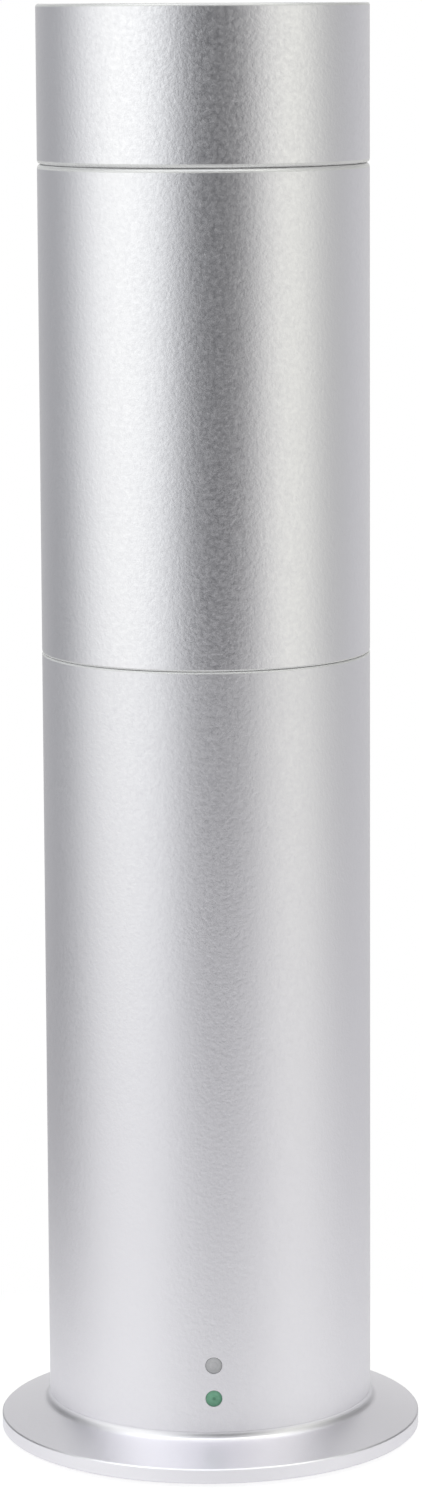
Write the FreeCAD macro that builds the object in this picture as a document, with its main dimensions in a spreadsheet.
import FreeCAD, Part
import math
import os
import re
import Sketcher

# A fan-assisted scent tower: a column of three anodised aluminium tubes on a conical foot.
# Millimetres, +Z up, the origin on the floor under the column's axis, the indicator lamps on the -Y side.
# Air enters behind, is driven up by a fan, and leaves through the head with the mist from the atomiser.

doc = FreeCAD.newDocument("ScentTower")
sheet = doc.addObject("Spreadsheet::Sheet", "Sizes")

SIZES = {
    # column
    "tube_radius": 35.0,
    "tube_wall": 2.0,
    "lower_length": 162.36,
    "cover_length": 103.25,
    "head_height": 33.2,
    "lower_seam_gap": 0.05,
    "lower_seam_round": 0.4,
    "upper_seam_gap": 0.05,
    "cover_top_round": 0.9,
    "head_foot_round": 0.8,
    "tube_foot_round": 0.06,
    "fine_chamfer": 0.3,
    "collar_chamfer": 0.5,
    "head_top_round": 0.6,
    "slip_gap": 0.1,
    "running_gap": 0.03,
    # foot
    "foot_proud": 1.0,
    "foot_thickness": 2.2,
    "foot_inner": 33.5,
    "foot_outer": 41.5,
    "flange_radius": 45.5,
    "rim_height": 3.2,
    "rim_chamfer": 0.25,
    "cone_rise": 2.94,
    "neck_round": 2.0,
    "spigot_height": 4.0,
    "spigot_wall": 4.0,
    "web_thickness": 3.0,
    "ballast_thickness": 4.9,
    "ballast_recess": 5.8,
    "ballast_gap": 0.2,
    "base_screw_circle": 22.0,
    # screws
    "screw_radius": 1.5,
    "screw_head": 2.8,
    "screw_head_height": 2.4,
    "screw_gap": 0.05,
    "small_screw_radius": 1.0,
    "small_screw_head": 1.9,
    "small_screw_head_height": 1.4,
    # chassis
    "chassis_floor": 3.0,
    "boss_radius": 3.5,
    "boss_height": 7.0,
    "plate_face": 10.5,
    "plate_thickness": 2.5,
    "plate_half": 20.8,
    "post_width": 4.5,
    "post_depth": 5.0,
    "plate_headroom": 15.0,
    "standoff_radius": 2.6,
    # rear panel and its controls
    "window_half": 12.0,
    "window_foot": 15.6,
    "window_height": 56.8,
    "window_corner": 3.0,
    "window_gap": 0.2,
    "panel_flange": 2.4,
    "panel_skin": 1.9,
    "panel_sink": 0.3,
    "seat_depth": 2.6,
    "board_thickness": 1.6,
    "control_board_face": 22.6,
    "control_board_half": 13.0,
    "jack_level": 24.0,
    "jack_bush": 4.0,
    "jack_bore": 3.0,
    "jack_pin": 1.05,
    "jack_depth": 9.5,
    "jack_half": 5.0,
    "jack_seat": 5.6,
    "button_level": 40.0,
    "button_radius": 4.0,
    "button_seat": 5.4,
    "button_stand": 2.2,
    "button_dish": 14.0,
    "button_dish_depth": 0.4,
    "switch_half": 5.0,
    "knob_level": 58.0,
    "knob_radius": 7.5,
    "knob_length": 7.0,
    "knob_seat": 9.0,
    "shaft_radius": 3.0,
    "bushing_radius": 3.6,
    "pot_radius": 8.0,
    "pot_depth": 6.4,
    # indicator lamps
    "lamp_radius": 1.7,
    "lamp_gap": 0.08,
    "power_lamp_level": 16.4,
    "status_lamp_level": 23.6,
    "lamp_flange": 2.4,
    "lens_dome": 4.0,
    "led_radius": 1.5,
    "led_board_face": 24.6,
    "led_board_half": 5.0,
    # intake
    "vent_radius": 1.3,
    "vent_pitch": 6.0,
    "vent_rows": 9,
    "vent_columns": 7,
    "vent_spread": 60.0,
    "vent_foot": 84.0,
    "filter_thickness": 1.5,
    "filter_margin": 4.0,
    # main board
    "main_board_half": 17.0,
    "main_board_foot": 80.0,
    "main_board_height": 56.0,
    "standoff": 3.0,
    # air pump
    "pump_set_back": 5.0,
    "pump_foot": 32.0,
    "can_radius": 12.2,
    "can_length": 30.8,
    "can_wall": 1.0,
    "pump_radius": 13.5,
    "pump_body_height": 19.2,
    "pump_cavity": 9.3,
    "pump_floor": 2.2,
    "motor_shaft": 1.0,
    "armature_radius": 8.4,
    "magnet_thickness": 1.9,
    "crank_radius": 5.5,
    "crank_height": 5.0,
    "pin_throw": 2.4,
    "diaphragm_thickness": 1.2,
    "valve_plate": 2.0,
    "pump_cover_height": 6.0,
    "nipple_radius": 1.9,
    "nipple_bore": 1.0,
    "nipple_length": 8.0,
    "sleeve_thickness": 2.6,
    "strap_thickness": 1.5,
    "strap_height": 10.0,
    "strap_foot_width": 3.9,
    "hose_radius": 3.0,
    "lead_radius": 0.9,
    "lead_hole": 3.2,
    "screw_length": 12.0,
    "small_screw_length": 4.5,
    # fan
    "fan_corner_gap": 2.12,
    "fan_depth": 10.0,
    "fan_rim": 0.8,
    "fan_tip_gap": 0.6,
    "fan_hub": 9.8,
    "fan_cup_wall": 1.0,
    "fan_hole_inset": 4.0,
    "fan_base": 1.2,
    "fan_shaft_radius": 1.0,
    "fan_blades": 7,
    "blade_thickness": 1.1,
    "blade_pitch": 38.0,
    # deck between the lower tube and the cover
    "deck_wall": 2.5,
    "deck_plate": 2.5,
    "deck_drop": 12.4,
    "deck_skirt": 7.0,
    "collar_height": 9.5,
    "collar_gap": 0.3,
    "ring_cord": 1.1,
    "riser_radius": 2.0,
    "riser_offset": 27.1,
    "riser_boss": 2.9,
    "riser_boss_height": 6.0,
    # bottle and its tray
    "bottle_radius": 23.2,
    "bottle_wall": 1.8,
    "bottle_body": 55.0,
    "bottle_corner": 3.0,
    "shoulder_rise": 8.0,
    "neck_radius": 10.5,
    "neck_wall": 1.6,
    "neck_length": 13.0,
    "oil_depth": 42.0,
    "tray_gap": 0.4,
    "tray_wall": 1.0,
    "tray_rim": 5.5,
    "tray_plate": 2.0,
    "tray_leg": 6.0,
    "tray_hole": 10.0,
    "pad_thickness": 1.2,
    "seat_gap": 0.2,
    # atomiser
    "skirt_wall": 3.6,
    "skirt_height": 13.5,
    "thread_gap": 0.4,
    "seal_thickness": 1.2,
    "chamber_radius": 15.5,
    "chamber_height": 16.0,
    "chamber_wall": 2.0,
    "snout_radius": 5.5,
    "snout_bore": 4.0,
    "snout_length": 25.0,
    "siphon_radius": 1.5,
    "siphon_bore": 0.9,
    "siphon_clearance": 2.5,
    "nozzle_radius": 4.0,
    "nozzle_height": 5.0,
    "arm_radius": 3.4,
    "socket_radius": 3.9,
    "socket_height": 12.5,
    "socket_insert": 7.0,
    # head
    "grille_radius": 27.0,
    "grille_thickness": 2.6,
    "grille_sink": 1.0,
    "grille_slots": 36,
    "slot_width": 1.8,
    "slot_inner": 12.5,
    "slot_outer": 24.5,
    "head_ledge": 1.5,
    "ledge_thickness": 2.0,
    "outlet_radius": 6.2,
    "chimney_wall": 1.8,
    "chimney_overlap": 6.0,
    "chimney_flange": 11.0,
    "insert_height": 8.0,
    "insert_wall": 2.2,
}

for row, (alias, size) in enumerate(SIZES.items(), start=1):
    sheet.set(f"A{row}", alias)
    sheet.set(f"B{row}", str(size))
    sheet.setAlias(f"B{row}", alias)
doc.recompute()

FUNCTIONS = ("sqrt", "cos", "sin", "tan", "atan", "min", "max", "deg")


def bound(text):
    """The expression with each size read from the sheet."""
    return re.sub(
        r"[a-z][a-z0-9_]*",
        lambda word: word.group(0) if word.group(0) in FUNCTIONS else "Sizes." + word.group(0),
        str(text),
    )


def number(text):
    """What an expression comes to now, in millimetres or degrees."""
    return float(sheet.evalExpression(bound(text)))


# Heights and radii that several pieces share, as expressions on the sheet.
BORE = "(tube_radius - tube_wall)"
RIM_TOP = "(foot_proud + rim_height)"
CONE_TOP = f"({RIM_TOP} + cone_rise)"
TUBE_FOOT = f"({CONE_TOP} + 0.948 * neck_round)"
TUBE_TOP = f"({TUBE_FOOT} + lower_length)"
COVER_FOOT = f"({TUBE_TOP} + lower_seam_gap)"
COVER_TOP = f"({COVER_FOOT} + cover_length)"
HEAD_FOOT = f"({COVER_TOP} + upper_seam_gap)"
HEAD_TOP = f"({HEAD_FOOT} + head_height)"
SPIGOT = f"({BORE} - slip_gap)"
WEB_FOOT = "(foot_proud + ballast_recess)"
WEB_TOP = f"({WEB_FOOT} + web_thickness)"
FLOOR_TOP = f"({WEB_TOP} + chassis_floor)"
WELL = "(tube_radius - tube_wall - slip_gap - spigot_wall)"
PLATE_BACK = "(plate_face + plate_thickness)"
DECK_PLATE_TOP = f"({TUBE_TOP} - deck_drop + deck_plate)"
DECK_PLATE_FOOT = f"({TUBE_TOP} - deck_drop)"
DECK_BORE = f"({SPIGOT} - deck_wall)"
FAN_HALF = f"(({DECK_BORE} - fan_corner_gap) / sqrt(2))"
FAN_FOOT = f"({DECK_PLATE_FOOT} - fan_depth)"
FAN_BORE = f"({FAN_HALF} - fan_rim)"
FAN_HOLE = f"({FAN_HALF} - fan_hole_inset)"
TRAY_FOOT = f"({DECK_PLATE_TOP} + tray_leg)"
TRAY_TOP = f"({TRAY_FOOT} + tray_plate)"
TRAY_CUP = "(bottle_radius + tray_gap)"
BOTTLE_FOOT = f"({TRAY_TOP} + pad_thickness + seat_gap)"
SHOULDER = f"({BOTTLE_FOOT} + bottle_body)"
NECK_FOOT = f"({SHOULDER} + shoulder_rise)"
NECK_TOP = f"({NECK_FOOT} + neck_length)"
NECK_BORE = "(neck_radius - neck_wall)"
SKIRT_CEILING = f"({NECK_TOP} + seal_thickness + 2 * slip_gap)"
CHAMBER_FOOT = f"({SKIRT_CEILING} + chamber_wall)"
CHAMBER_TOP = f"({CHAMBER_FOOT} + chamber_height)"
SNOUT_TOP = f"({CHAMBER_TOP} + snout_length)"
ARM_LEVEL = f"({CHAMBER_FOOT} + chamber_height / 2)"
SOCKET_FOOT = f"({ARM_LEVEL} + arm_radius - socket_height)"
RISER_TOP = f"({SOCKET_FOOT} + socket_insert)"
GRILLE_TOP = f"({HEAD_TOP} - grille_sink)"
GRILLE_FOOT = f"({GRILLE_TOP} - grille_thickness)"
LEDGE_FOOT = f"({GRILLE_FOOT} - ledge_thickness)"
CAN_TOP = "(pump_foot + can_length)"
PUMP_BODY_TOP = f"({CAN_TOP} + pump_body_height)"
VALVE_FOOT = f"({PUMP_BODY_TOP} + diaphragm_thickness)"
PUMP_COVER_FOOT = f"({VALVE_FOOT} + valve_plate)"
PUMP_COVER_TOP = f"({PUMP_COVER_FOOT} + pump_cover_height)"
NIPPLE_TOP = f"({PUMP_COVER_TOP} + nipple_length)"
PANEL_OUTER = "(tube_radius - panel_sink)"
PANEL_BACK = f"({SPIGOT} - panel_skin)"
SEAT_FACE = "(tube_radius - seat_depth)"
WINDOW_TOP = "(window_foot + window_height)"
VENT_TOP = "(vent_foot + (vent_rows - 1) * vent_pitch)"
FAN_CUP_TOP = f"({FAN_FOOT} + fan_depth - fan_tip_gap)"
CORNERS = [(1, 1), (-1, 1), (-1, -1), (1, -1)]
DIAGONAL = "base_screw_circle / sqrt(2)"

nodes = []
large_screws = []
small_screws = []


def keep(item, label):
    """Marks a document object as one sub-part, under the name that its file gets."""
    item.Label = label
    nodes.append(item)
    return item


# The loom passes through the chassis plate on these two lines, at these heights.
LEAD_LINES = {-1: "-5.5", 1: "4"}
LEAD_HOLES = [(-1, "pump_foot - 7"), (1, "pump_foot - 3.6")]


# ---- sketch-based bodies ----


def origin_plane(body, role):
    return next(plane for plane in body.Origin.OriginFeatures if plane.Role == role)


def new_sketch(body, name, role):
    sketch = body.newObject("Sketcher::SketchObject", name)
    sketch.AttachmentSupport = [(origin_plane(body, role), "")]
    sketch.MapMode = "FlatFace"
    return sketch


def pin_point(sketch, geometry, end, across, up):
    """Ties a sketch point to the sketch's axes by two distances read from the sheet."""
    for kind, axis, text in (("DistanceX", -2, across), ("DistanceY", -1, up)):
        if text == "0":
            sketch.addConstraint(Sketcher.Constraint("PointOnObject", geometry, end, axis))
            continue
        index = sketch.addConstraint(Sketcher.Constraint(kind, -1, 1, geometry, end, number(text)))
        sketch.setExpression(f"Constraints[{index}]", bound(text))


def draw_outline(sketch, points):
    """A closed run of straight lines through points given as pairs of expressions."""
    places = [FreeCAD.Vector(number(across), number(up), 0) for across, up in points]
    for start, end in zip(places, places[1:] + places[:1]):
        sketch.addGeometry(Part.LineSegment(start, end))
    count = len(points)
    for i in range(count):
        sketch.addConstraint(Sketcher.Constraint("Coincident", i, 2, (i + 1) % count, 1))
    for i, (across, up) in enumerate(points):
        pin_point(sketch, i, 1, across, up)


def draw_circles(sketch, centres, radius):
    """Circles of one radius, at centres given as pairs of expressions."""
    for i, (across, up) in enumerate(centres):
        centre = FreeCAD.Vector(number(across), number(up), 0)
        sketch.addGeometry(Part.Circle(centre, FreeCAD.Vector(0, 0, 1), number(radius)))
        pin_point(sketch, i, 3, across, up)
        index = sketch.addConstraint(Sketcher.Constraint("Radius", i, number(radius)))
        sketch.setExpression(f"Constraints[{index}]", bound(radius))


def arc(across, up, size, start, end, steps):
    """Points of an arc about a centre, at angles in degrees turned from straight outwards."""
    points = []
    for i in range(steps + 1):
        angle = math.radians(start + (end - start) * i / steps)
        points.append(
            (f"{across} + {size} * ({math.cos(angle):.5f})", f"{up} + {size} * ({math.sin(angle):.5f})")
        )
    return points


def turned(name, outline):
    """A body turned about the Z axis from a half section of (radius, height) pairs."""
    body = doc.addObject("PartDesign::Body", name)
    sketch = new_sketch(body, name + "_section", "XZ_Plane")
    draw_outline(sketch, outline)
    revolution = body.newObject("PartDesign::Revolution", name + "_turned")
    revolution.Profile = sketch
    revolution.ReferenceAxis = (sketch, ["V_Axis"])
    revolution.Angle = 360
    doc.recompute()
    return body


def ring(name, inner, outer, foot, top):
    """A turned ring with a plain rectangular section."""
    return turned(name, [(inner, foot), (outer, foot), (outer, top), (inner, top)])


def pocket(body, name, role, centres, radius, depth=None, reverse=False):
    """Round holes square to an origin plane: right through, or from that plane outwards to one side."""
    before = body.Shape.Volume
    sketch = new_sketch(body, name + "_circles", role)
    draw_circles(sketch, centres, radius)
    feature = body.newObject("PartDesign::Pocket", name)
    feature.Profile = sketch
    if depth is None:
        feature.Type = "ThroughAll"
        feature.Midplane = True
    else:
        feature.Type = "Length"
        feature.setExpression("Length", bound(depth))
        feature.Reversed = reverse
    doc.recompute()
    if not body.Shape.Volume < before:
        raise ValueError(f"{name} cuts nothing")
    return feature


def polar(body, name, feature, count, angle="360"):
    """Repeats a feature about the Z axis, and makes the pattern the body's tip."""
    pattern = body.newObject("PartDesign::PolarPattern", name)
    pattern.Originals = [feature]
    pattern.Axis = (next(a for a in body.Origin.OriginFeatures if a.Role == "Z_Axis"), [""])
    pattern.setExpression("Angle", bound(angle))
    pattern.setExpression("Occurrences", bound(count))
    body.Tip = pattern
    doc.recompute()
    return pattern


def ring_edges(shape, places):
    """The names of the round edges that run at each (radius, height)."""
    wanted = [(number(radius), number(height)) for radius, height in places]
    found = []
    for i, edge in enumerate(shape.Edges, start=1):
        if not isinstance(edge.Curve, Part.Circle):
            continue
        here = (edge.Curve.Radius, edge.Curve.Center.z)
        if any(math.dist(here, spot) < 0.01 for spot in wanted):
            found.append(f"Edge{i}")
    return found


def soften(body, name, places, radius):
    """Rounds a turned body's edges at each (radius, height)."""
    tip = body.Tip
    fillet = body.newObject("PartDesign::Fillet", name)
    fillet.Base = (tip, ring_edges(tip.Shape, places))
    fillet.setExpression("Radius", bound(radius))
    doc.recompute()
    return fillet


# ---- primitives and booleans ----

ALONG = {
    "+Z": FreeCAD.Rotation(),
    "+X": FreeCAD.Rotation(FreeCAD.Vector(0, 1, 0), 90),
    "+Y": FreeCAD.Rotation(FreeCAD.Vector(1, 0, 0), -90),
    "-Y": FreeCAD.Rotation(FreeCAD.Vector(1, 0, 0), 90),
}


def place(item, at, rotation=FreeCAD.Rotation()):
    item.Placement = FreeCAD.Placement(FreeCAD.Vector(), rotation)
    for axis, text in zip("xyz", at):
        item.setExpression("Placement.Base." + axis, bound(text))
    return item


def rod(name, radius, length, at=("0", "0", "0"), along="+Z"):
    item = doc.addObject("Part::Cylinder", name)
    item.setExpression("Radius", bound(radius))
    item.setExpression("Height", bound(length))
    return place(item, at, ALONG[along])


def block(name, x_span, y_span, z_span):
    """A box between two expressions on each axis."""
    item = doc.addObject("Part::Box", name)
    for size, (low, high) in zip(("Length", "Width", "Height"), (x_span, y_span, z_span)):
        item.setExpression(size, bound(f"({high}) - ({low})"))
    return place(item, (x_span[0], y_span[0], z_span[0]))


def fuse(name, pieces):
    item = doc.addObject("Part::MultiFuse", name)
    item.Shapes = list(pieces)
    item.Refine = True
    return item


def common(name, pieces):
    item = doc.addObject("Part::MultiCommon", name)
    item.Shapes = list(pieces)
    return item


def cut(name, base, tools):
    tools = list(tools)
    item = doc.addObject("Part::Cut", name)
    item.Base = base
    item.Tool = tools[0] if len(tools) == 1 else fuse(name + "_tools", tools)
    doc.recompute()
    if not item.Shape.Volume < base.Shape.Volume:
        raise ValueError(f"{name} cuts nothing")
    return item


def group(name, pieces):
    """Separate solids that share one node."""
    item = doc.addObject("Part::Compound", name)
    item.Links = list(pieces)
    return item


def rounded_block(name, x_span, y_span, z_span, radius):
    """A box with the four edges along Y rounded."""
    sharp = block(name + "_sharp", x_span, y_span, z_span)
    doc.recompute()
    edges = []
    for i, edge in enumerate(sharp.Shape.Edges, start=1):
        run = edge.Vertexes[1].Point - edge.Vertexes[0].Point
        if abs(run.y) > abs(run.x) + abs(run.z):
            edges.append((i, number(radius), number(radius)))
    item = doc.addObject("Part::Fillet", name)
    item.Base = sharp
    item.Edges = edges
    return item


def screw(
    name, at, along, length, radius="screw_radius", head="screw_head", head_height="screw_head_height"
):
    """A pan-head screw: at is the underside of its head, and along is the way that its shank goes."""
    step = {"+Z": (0, 0, 1), "-Z": (0, 0, -1), "+X": (1, 0, 0), "+Y": (0, 1, 0), "-Y": (0, -1, 0)}[along]
    back = [f"{axis} - ({s}) * {head_height}" if s else axis for axis, s in zip(at, step)]
    if along == "-Z":
        shank = rod(name + "_shank", radius, length, (at[0], at[1], f"{at[2]} - ({length})"))
        top = rod(name + "_head", head, head_height, at)
    else:
        shank = rod(name + "_shank", radius, length, at, along)
        top = rod(name + "_head", head, head_height, back, along)
    return fuse(name, [shank, top])


def small_screw(name, at, along):
    sizes = ("small_screw_length", "small_screw_radius", "small_screw_head", "small_screw_head_height")
    return screw(name, at, along, *sizes)


def swept(name, points, radius, bore=None):
    """A round tube along straight runs joined by tangent arcs, as wide as the runs beside them allow."""
    spots = [FreeCAD.Vector(*(number(axis) for axis in point)) for point in points]
    edges, start = [], spots[0]
    for before, corner, after in zip(spots, spots[1:], spots[2:]):
        run_in, run_out = corner - before, after - corner
        turn = run_in.getAngle(run_out)
        reach = 0.45 * min(run_in.Length, run_out.Length)
        bend = reach / math.tan(turn / 2)
        into, out_of = FreeCAD.Vector(run_in).normalize(), FreeCAD.Vector(run_out).normalize()
        first, last = corner - into * reach, corner + out_of * reach
        inward = (out_of - into).normalize()
        middle = corner + inward * (bend / math.cos(turn / 2) - bend)
        edges += [Part.LineSegment(start, first).toShape(), Part.Arc(first, middle, last).toShape()]
        start = last
        print(f"{name}: bend radius {bend:.1f}")
    edges.append(Part.LineSegment(start, spots[-1]).toShape())
    path = Part.Wire(edges)
    ahead = spots[1] - spots[0]

    def tube(size):
        circle = Part.Wire(Part.Circle(spots[0], ahead, size).toShape())
        return path.makePipeShell([circle], True, False)

    shape = tube(number(radius))
    if bore is not None:
        shape = shape.cut(tube(number(bore)))
    area = math.pi * (number(radius) ** 2 - (number(bore) ** 2 if bore else 0))
    if abs(shape.Volume - area * path.Length) > 0.02 * shape.Volume:
        raise ValueError(f"{name} doesn't fill its route")
    item = doc.addObject("Part::Feature", name)
    item.Shape = shape
    return item


# ---- foot ----


def make_foot():
    pad = ring("FootRing", "foot_inner + slip_gap", "foot_outer - slip_gap", "0", "foot_thickness")
    soften(
        pad,
        "FootRing_round",
        [("foot_outer - slip_gap", "0"), ("foot_inner + slip_gap", "0")],
        "fine_chamfer",
    )
    keep(pad, "foot_ring")

    groove_top = "foot_thickness + slip_gap"
    # The cone rises to the tube in a hollow curve, so that no step shows at the tube's foot.
    neck = arc("(tube_radius + neck_round)", TUBE_FOOT, "neck_round", 251.4, 180.0, 6)
    outline = [
        ("0", WEB_FOOT),
        (WELL, WEB_FOOT),
        (WELL, "foot_proud"),
        ("foot_inner", "foot_proud"),
        ("foot_inner", groove_top),
        ("foot_outer", groove_top),
        ("foot_outer", "foot_proud"),
        ("flange_radius - rim_chamfer", "foot_proud"),
        ("flange_radius", "foot_proud + rim_chamfer"),
        ("flange_radius", f"{RIM_TOP} - rim_chamfer"),
        ("flange_radius - rim_chamfer", RIM_TOP),
        *neck,
        (SPIGOT, TUBE_FOOT),
        (SPIGOT, f"{TUBE_FOOT} + spigot_height"),
        (WELL, f"{TUBE_FOOT} + spigot_height"),
        (WELL, WEB_TOP),
        ("0", WEB_TOP),
    ]
    flange = turned("BaseFlange", outline)
    bolt = pocket(
        flange, "BaseFlange_hole", "XY_Plane", [(DIAGONAL, DIAGONAL)], "screw_radius + screw_gap"
    )
    polar(flange, "BaseFlange_holes", bolt, "4")
    pocket(
        flange,
        "BaseFlange_tube_screw",
        "XZ_Plane",
        [("0", f"{TUBE_FOOT} + spigot_height / 2")],
        "small_screw_radius + screw_gap",
        depth="flange_radius",
    )
    keep(flange, "base_flange")

    ballast_foot = f"{WEB_FOOT} - ballast_thickness"
    ballast = turned(
        "Ballast",
        [
            ("0", ballast_foot),
            (f"{WELL} - ballast_gap - fine_chamfer", ballast_foot),
            (f"{WELL} - ballast_gap", f"{ballast_foot} + fine_chamfer"),
            (f"{WELL} - ballast_gap", WEB_FOOT),
            ("0", WEB_FOOT),
        ],
    )
    bolt = pocket(ballast, "Ballast_hole", "XY_Plane", [(DIAGONAL, DIAGONAL)], "screw_radius + screw_gap")
    polar(ballast, "Ballast_holes", bolt, "4")
    sink = pocket(
        ballast,
        "Ballast_sink",
        "XY_Plane",
        [(DIAGONAL, DIAGONAL)],
        "screw_head + slip_gap",
        depth=f"{ballast_foot} + screw_head_height + slip_gap",
        reverse=True,
    )
    polar(ballast, "Ballast_sinks", sink, "4")
    keep(ballast, "ballast_plate")

    head_face = f"{ballast_foot} + screw_head_height + slip_gap"
    for i, (x_side, y_side) in enumerate(CORNERS):
        at = (f"{x_side} * {DIAGONAL}", f"{y_side} * {DIAGONAL}", head_face)
        large_screws.append(screw(f"BaseScrew{i}", at, "+Z", "screw_length"))


# ---- outer tubes ----


def lower_edge(foot, size, steps=4):
    """The rounded outer edge at a tube's foot, from its end face to its wall."""
    return arc(f"(tube_radius - {size})", f"({foot} + {size})", size, -90.0, 0.0, steps)


def upper_edge(top, size, steps=4):
    """The rounded outer edge at a tube's top, from its wall to its end face."""
    return arc(f"(tube_radius - {size})", f"({top} - {size})", size, 0.0, 90.0, steps)


def make_lower_tube():
    tube = turned(
        "LowerTube",
        [
            (BORE, TUBE_FOOT),
            *lower_edge(TUBE_FOOT, "tube_foot_round", 1),
            *upper_edge(TUBE_TOP, "lower_seam_round", 3),
            (BORE, TUBE_TOP),
        ],
    )
    pocket(
        tube,
        "LowerTube_lamps",
        "XZ_Plane",
        [("0", "power_lamp_level"), ("0", "status_lamp_level")],
        "lamp_radius + lamp_gap",
        depth="tube_radius + 1",
        reverse=True,
    )
    pocket(
        tube,
        "LowerTube_screws",
        "XZ_Plane",
        [("0", f"{TUBE_FOOT} + spigot_height / 2"), ("0", f"{DECK_PLATE_FOOT} - deck_skirt / 2")],
        "small_screw_radius + screw_gap",
        depth="tube_radius + 1",
    )
    rows = [("0", f"vent_foot + {row} * vent_pitch") for row in range(int(number("vent_rows")))]
    before = tube.Shape.Volume
    sketch = new_sketch(tube, "LowerTube_vent_circles", "XZ_Plane")
    draw_circles(sketch, rows, "vent_radius")
    swing = FreeCAD.Rotation(FreeCAD.Vector(0, 1, 0), -number("vent_spread / 2"))
    sketch.AttachmentOffset = FreeCAD.Placement(FreeCAD.Vector(), swing)
    column = tube.newObject("PartDesign::Pocket", "LowerTube_vents")
    column.Profile = sketch
    column.Type = "Length"
    column.setExpression("Length", bound("tube_radius + 1"))
    doc.recompute()
    polar(tube, "LowerTube_vent_columns", column, "vent_columns", "vent_spread")
    if not tube.Shape.Volume < before:
        raise ValueError("the vents cut nothing")
    window = rounded_block(
        "TubeWindow",
        ("-window_half", "window_half"),
        ("0", "tube_radius + 1"),
        ("window_foot", WINDOW_TOP),
        "window_corner",
    )
    keep(cut("LowerTubeCut", tube, [window]), "lower_tube")

    screws = []
    for i, level in enumerate(
        (f"{TUBE_FOOT} + spigot_height / 2", f"{DECK_PLATE_FOOT} - deck_skirt / 2"),
    ):
        at = ("0", "tube_radius", level)
        screws.append(
            screw(
                f"TubeScrew{i}",
                at,
                "-Y",
                "tube_wall + slip_gap + 2.2",
                "small_screw_radius",
                "small_screw_head",
                "small_screw_head_height / 2",
            )
        )
    keep(group("TubeScrews", screws), "tube_screws")


def make_cover():
    cover = turned(
        "CoverTube",
        [
            (BORE, COVER_FOOT),
            *lower_edge(COVER_FOOT, "lower_seam_round", 3),
            *upper_edge(COVER_TOP, "cover_top_round"),
            (BORE, COVER_TOP),
        ],
    )
    keep(cover, "cover_tube")


def make_head():
    opening = "grille_radius + ballast_gap"
    shell = turned(
        "HeadShell",
        [
            (BORE, HEAD_FOOT),
            *lower_edge(HEAD_FOOT, "head_foot_round"),
            *upper_edge(HEAD_TOP, "head_top_round"),
            (f"{opening} + fine_chamfer", HEAD_TOP),
            (opening, f"{HEAD_TOP} - fine_chamfer"),
            (opening, GRILLE_FOOT),
            (f"{opening} - head_ledge", GRILLE_FOOT),
            (f"{opening} - head_ledge", LEDGE_FOOT),
            (BORE, LEDGE_FOOT),
        ],
    )
    keep(shell, "head_shell")

    groove = f"({HEAD_FOOT} - insert_height / 2)"
    outer = f"({BORE} - collar_gap)"
    half = "(ring_cord + slip_gap)"
    insert = turned(
        "HeadInsert",
        [
            (f"{SPIGOT} - insert_wall", f"{HEAD_FOOT} - insert_height"),
            (f"{outer} - fine_chamfer", f"{HEAD_FOOT} - insert_height"),
            (outer, f"{HEAD_FOOT} - insert_height + fine_chamfer"),
            (outer, f"{groove} - {half}"),
            (f"{outer} - ring_cord", f"{groove} - {half}"),
            (f"{outer} - ring_cord", f"{groove} + {half}"),
            (outer, f"{groove} + {half}"),
            (outer, HEAD_FOOT),
            (SPIGOT, HEAD_FOOT),
            (SPIGOT, f"{HEAD_FOOT} + insert_height"),
            (f"{SPIGOT} - insert_wall", f"{HEAD_FOOT} + insert_height"),
        ],
    )
    keep(insert, "head_insert")
    keep(o_ring("HeadSeal", groove), "head_seal")

    grille = turned(
        "OutletGrille",
        [
            ("outlet_radius", GRILLE_FOOT),
            ("grille_radius", GRILLE_FOOT),
            ("grille_radius", f"{GRILLE_TOP} - fine_chamfer"),
            ("grille_radius - fine_chamfer", GRILLE_TOP),
            ("outlet_radius + fine_chamfer", GRILLE_TOP),
            ("outlet_radius", f"{GRILLE_TOP} - fine_chamfer"),
        ],
    )
    sketch = new_sketch(grille, "OutletGrille_slot_outline", "XY_Plane")
    half_slot = "slot_width / 2"
    draw_outline(
        sketch,
        [
            ("slot_inner", f"-({half_slot})"),
            ("slot_outer", f"-({half_slot})"),
            ("slot_outer", half_slot),
            ("slot_inner", half_slot),
        ],
    )
    slot = grille.newObject("PartDesign::Pocket", "OutletGrille_slot")
    slot.Profile = sketch
    slot.Type = "ThroughAll"
    slot.Midplane = True
    doc.recompute()
    polar(grille, "OutletGrille_slots", slot, "grille_slots")
    keep(grille, "outlet_grille")

    chimney_outer = "outlet_radius + chimney_wall"
    chimney = turned(
        "MistChimney",
        [
            ("outlet_radius", f"{SNOUT_TOP} - chimney_overlap"),
            (chimney_outer, f"{SNOUT_TOP} - chimney_overlap"),
            (chimney_outer, LEDGE_FOOT),
            ("chimney_flange", LEDGE_FOOT),
            ("chimney_flange", GRILLE_FOOT),
            ("outlet_radius", GRILLE_FOOT),
        ],
    )
    keep(chimney, "mist_chimney")


def o_ring(name, level):
    """The sealing ring of a push-fit joint, just clear of the tube's bore."""
    torus = doc.addObject("Part::Torus", name)
    torus.setExpression("Radius1", bound(f"{BORE} - running_gap - ring_cord / 2 - slip_gap / 2"))
    torus.setExpression("Radius2", bound("ring_cord / 2"))
    return place(torus, ("0", "0", level))


# ---- chassis ----


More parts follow.
